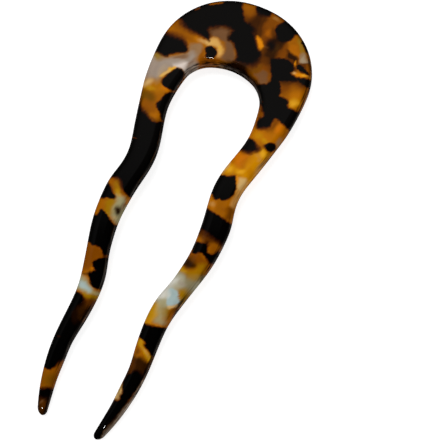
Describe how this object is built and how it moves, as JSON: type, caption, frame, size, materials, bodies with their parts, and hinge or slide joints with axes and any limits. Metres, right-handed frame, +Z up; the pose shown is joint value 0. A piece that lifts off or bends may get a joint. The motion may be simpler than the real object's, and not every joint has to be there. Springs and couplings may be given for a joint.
{
  "type": "french hair pin",
  "caption": "U-shaped hair pin with a wide crown and two mirrored wavy legs that taper to rounded ends, gently bowed to follow the head.",
  "frame": {"origin": "under the middle of the pin's box, on the surface that the pin lies on", "axes": "+Y along the pin toward its crown, +X across it, +Z up, out of the bowed front face"},
  "size_m": [0.0396, 0.114, 0.0063],
  "materials": {
    "tortoiseshell": "polished, mottled amber, honey, smoke and near-black"
  },
  "bodies": {
    "root": {"hair_pin": "tortoiseshell"}
  },
  "joints": []
}
